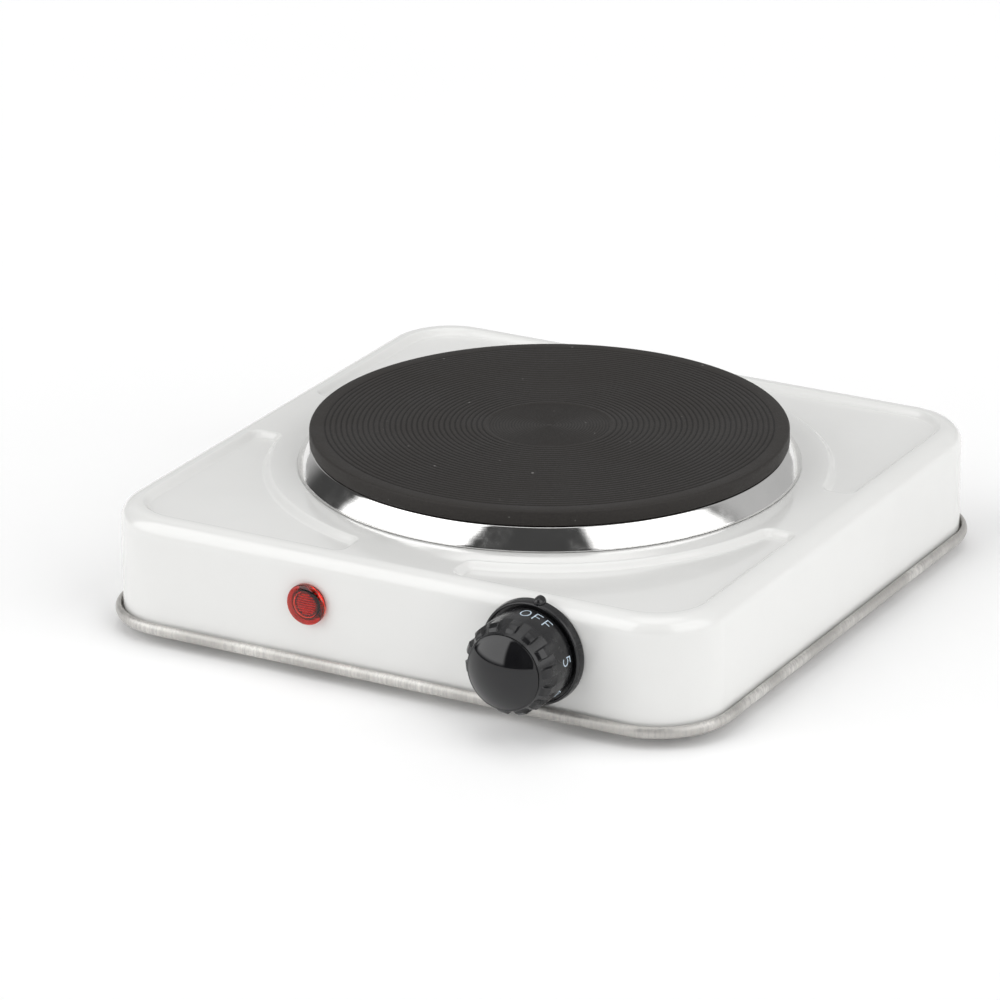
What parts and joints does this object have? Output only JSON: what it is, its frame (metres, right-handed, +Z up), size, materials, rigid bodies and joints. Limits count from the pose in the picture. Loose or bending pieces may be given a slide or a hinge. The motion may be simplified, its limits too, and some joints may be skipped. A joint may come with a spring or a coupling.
{
  "type": "electric hot plate",
  "caption": "Square electric hot plate with a white enamelled shell, a round cast iron plate in a steel ring, a turning dial and a red lamp.",
  "frame": {"origin": "on the surface the feet stand on, under the middle of the whole object from the knob's cap to the cord gland", "axes": "+Z up; the front with the dial and lamp faces -Y; +X to the right seen from the front"},
  "size_m": [0.2178, 0.243, 0.0541],
  "materials": {
    "enamel": "white glossy enamel",
    "galvanised": "galvanised, finely streaked",
    "stainless": "polished stainless steel",
    "cast_iron": "matte blackened, finely turned",
    "steel": "zinc plated",
    "brass": "plain",
    "ceramic": "unglazed",
    "black_gloss": "polished black",
    "black_satin": "satin black",
    "red_lens": "translucent red",
    "bulb_glass": "clear",
    "rubber": "matte black",
    "coil_alloy": "dark oxidised sheath",
    "sleeve_brown": "woven glass sleeve, brown",
    "sleeve_blue": "woven glass sleeve, blue",
    "sleeve_green": "woven glass sleeve, green and yellow"
  },
  "bodies": {
    "housing": {"top_shell": "enamel", "base_plate": "galvanised", "foot_front_left": "rubber", "foot_front_right": "rubber", "foot_rear_left": "rubber", "foot_rear_right": "rubber", "foot_screw_front_left": "steel", "foot_screw_front_right": "steel", "foot_screw_rear_left": "steel", "foot_screw_rear_right": "steel", "corner_bracket_front_left": "steel", "corner_bracket_front_right": "steel", "corner_bracket_rear_left": "steel", "corner_bracket_rear_right": "steel", "hot_plate": "cast_iron", "trim_ring": "stainless", "heating_coil": "coil_alloy", "insulation_disc": "ceramic", "plate_cover": "steel", "bridge_bracket": "steel", "centre_stud": "steel", "stud_washer": "steel", "stud_nut": "steel", "heat_shield": "steel", "heater_terminal": "ceramic", "heater_pin_neutral": "brass", "heater_pin_live": "brass", "dial_bezel": "black_satin", "thermostat_frame": "steel", "thermostat_bush": "brass", "thermostat_screw_left": "steel", "thermostat_screw_right": "steel", "thermostat_stack": "ceramic", "bimetal_blade": "brass", "contact_terminal": "brass", "lamp_lens": "red_lens", "neon_lamp": "bulb_glass", "lamp_holder": "black_satin", "lamp_clip": "steel", "cord_gland": "black_satin", "cord_clamp": "black_satin", "clamp_screw_left": "steel", "clamp_screw_right": "steel", "terminal_block": "ceramic", "earth_tag": "brass", "earth_screw": "steel", "live_wire": "sleeve_brown", "heater_wire": "sleeve_brown", "neutral_wire": "sleeve_blue", "earth_wire": "sleeve_green", "lamp_lead_live": "sleeve_brown", "lamp_lead_neutral": "sleeve_blue"},
    "dial": {"knob": "black_satin", "knob_cap": "black_gloss", "knob_clip": "steel", "thermostat_spindle": "brass"},
    "pin": {"push_pin": "ceramic"},
    "arm": {"contact_arm": "brass"}
  },
  "joints": [
    {"name": "knob_turn", "type": "hinge", "parent": "housing", "child": "dial", "pos_m": [0.0529, -0.0965, 0.0251], "axis": [0, 1, 0], "range_deg": [0, 285]},
    {"name": "pin_slide", "type": "slide", "parent": "housing", "child": "pin", "axis": [0, 1, 0], "range_m": [0, 0.00061]},
    {"name": "arm_bend", "type": "hinge", "parent": "housing", "child": "arm", "pos_m": [0.0529, -0.0795, 0.0183], "axis": [-1, 0, 0], "range_deg": [0, 5.06]}
  ],
  "couplings": [
    {"joint": "pin_slide", "follows": "knob_turn", "m_per_rad": 0.0001206},
    {"joint": "arm_bend", "follows": "knob_turn", "ratio": 0.01774}
  ]
}
